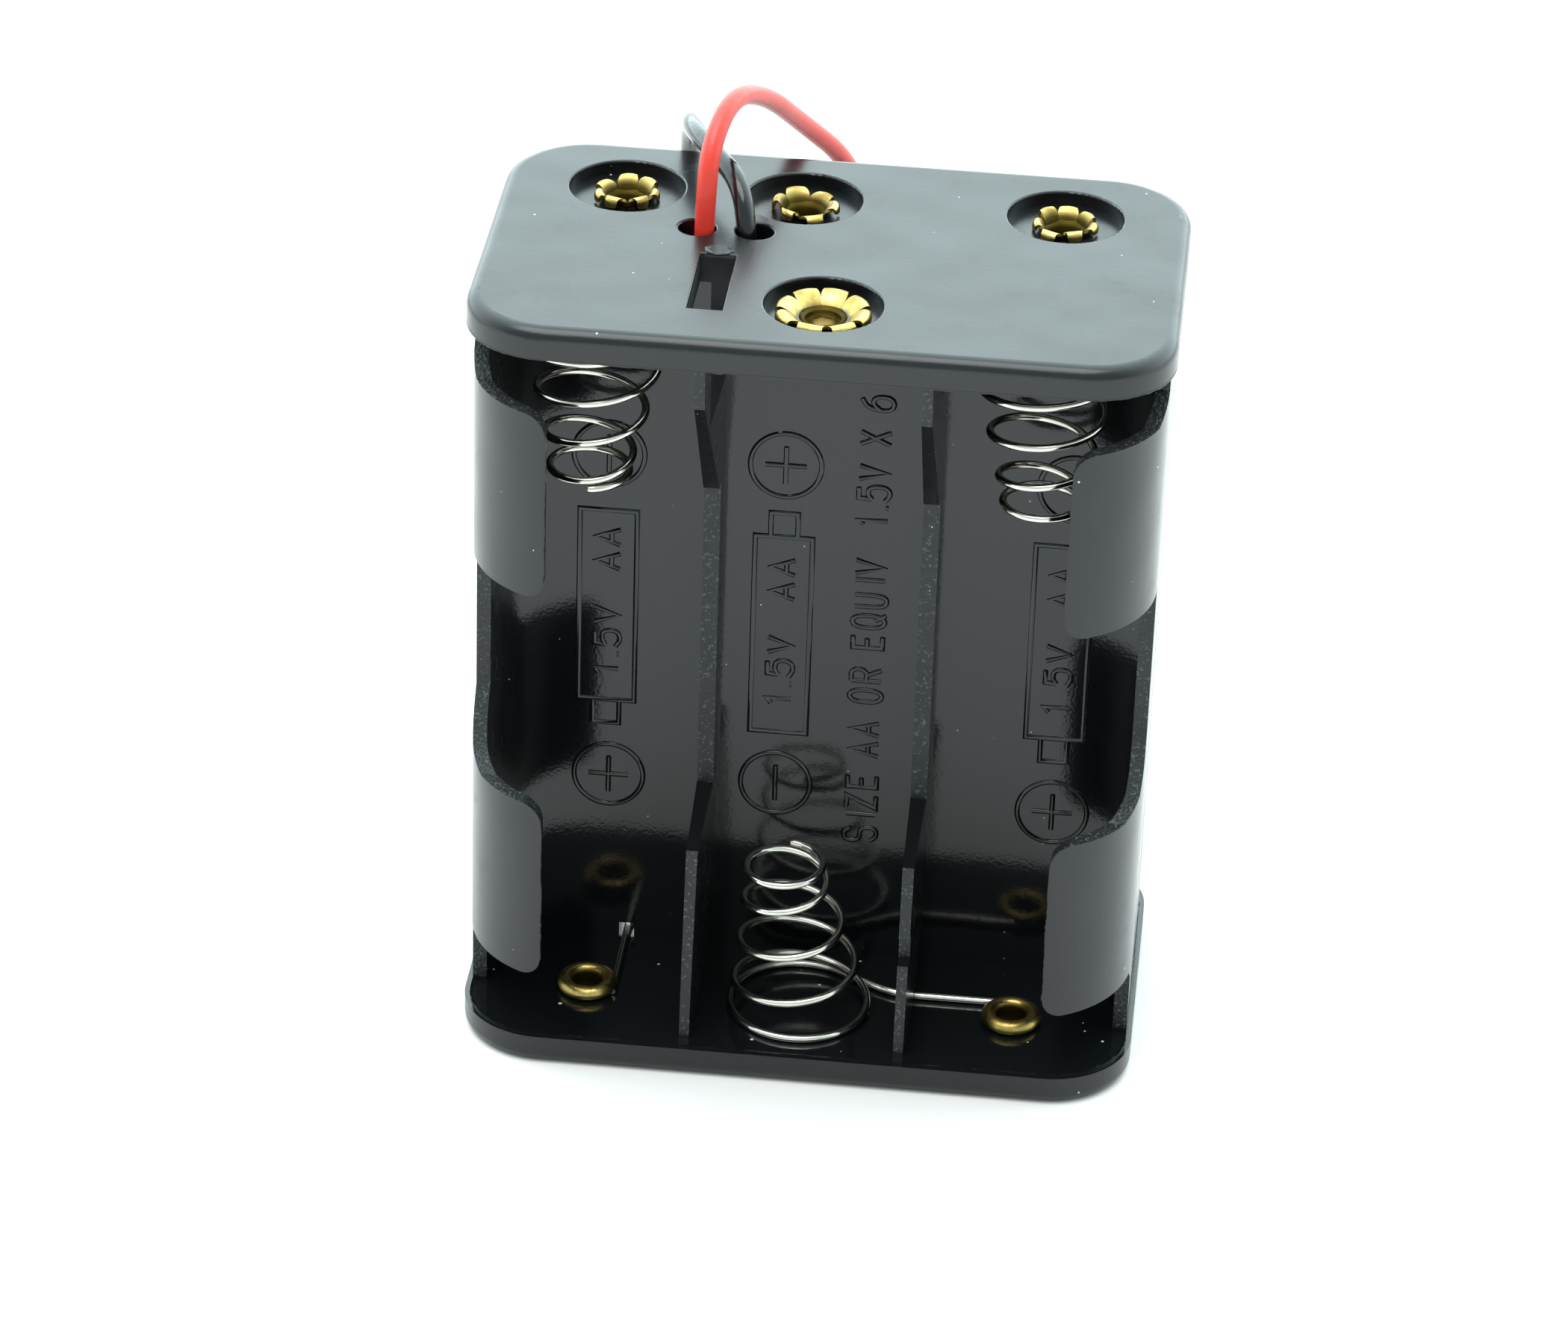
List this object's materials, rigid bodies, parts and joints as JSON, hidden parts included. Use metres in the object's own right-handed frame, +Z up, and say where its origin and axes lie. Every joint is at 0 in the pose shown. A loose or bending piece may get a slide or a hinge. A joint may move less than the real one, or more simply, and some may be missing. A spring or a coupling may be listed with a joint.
{
  "type": "aa battery holder",
  "caption": "Black moulded holder for AA cells on two faces, standing on one end plate, with brass rivet contacts, conical steel springs and a red and a black lead.",
  "frame": {"origin": "centre of the lower end plate's underside, on the surface that the holder stands on", "axes": "+X across the three cells of a face, to the right from the front; +Y from the front cells to the rear cells; +Z up along the cells, out of the plate that the leads leave"},
  "size_m": [0.048, 0.0685, 0.0664],
  "materials": {
    "black_plastic": "moulded black polypropylene, half gloss",
    "brass": "bright rolled brass",
    "spring_steel": "bright nickel plated spring wire",
    "red_insulation": "soft PVC insulation",
    "black_insulation": "soft PVC insulation",
    "tinned_copper": "tinned strands",
    "solder": "bright solder"
  },
  "bodies": {
    "holder": {"holder_moulding": "black_plastic", "front_middle_eyelet": "brass", "rear_left_eyelet": "brass", "rear_right_eyelet": "brass", "negative_terminal_eyelet": "brass", "front_left_eyelet": "brass", "front_right_eyelet": "brass", "rear_middle_eyelet": "brass", "front_middle_spring_coil": "spring_steel", "rear_right_spring_coil": "spring_steel", "rear_left_spring_coil": "spring_steel", "front_left_spring_coil": "spring_steel", "front_right_spring_coil": "spring_steel", "rear_middle_spring_coil": "spring_steel", "red_lead": "red_insulation", "red_lead_strands": "tinned_copper", "red_lead_bare_end": "tinned_copper", "red_solder_joint": "solder", "black_lead": "black_insulation", "black_lead_strands": "tinned_copper", "black_lead_bare_end": "tinned_copper", "black_solder_joint": "solder"},
    "front_middle_tip": {"front_middle_spring_tip": "spring_steel"},
    "rear_right_tip": {"rear_right_spring_tip": "spring_steel"},
    "rear_left_tip": {"rear_left_spring_tip": "spring_steel"},
    "front_left_tip": {"front_left_spring_tip": "spring_steel"},
    "front_right_tip": {"front_right_spring_tip": "spring_steel"},
    "rear_middle_tip": {"rear_middle_spring_tip": "spring_steel"}
  },
  "joints": [
    {"name": "front_middle_spring_compression", "type": "slide", "parent": "holder", "child": "front_middle_tip", "axis": [0, 0, -1], "range_m": [0, 0.009], "stiffness_N_per_m": 400, "deforming": ["front_middle_spring_coil"]},
    {"name": "rear_right_spring_compression", "type": "slide", "parent": "holder", "child": "rear_right_tip", "axis": [0, 0, -1], "range_m": [0, 0.009], "stiffness_N_per_m": 400, "deforming": ["rear_right_spring_coil"]},
    {"name": "rear_left_spring_compression", "type": "slide", "parent": "holder", "child": "rear_left_tip", "axis": [0, 0, -1], "range_m": [0, 0.009], "stiffness_N_per_m": 400, "deforming": ["rear_left_spring_coil"]},
    {"name": "front_left_spring_compression", "type": "slide", "parent": "holder", "child": "front_left_tip", "axis": [0, 0, 1], "range_m": [0, 0.009], "stiffness_N_per_m": 400, "deforming": ["front_left_spring_coil"]},
    {"name": "front_right_spring_compression", "type": "slide", "parent": "holder", "child": "front_right_tip", "axis": [0, 0, 1], "range_m": [0, 0.009], "stiffness_N_per_m": 400, "deforming": ["front_right_spring_coil"]},
    {"name": "rear_middle_spring_compression", "type": "slide", "parent": "holder", "child": "rear_middle_tip", "axis": [0, 0, 1], "range_m": [0, 0.009], "stiffness_N_per_m": 400, "deforming": ["rear_middle_spring_coil"]}
  ]
}
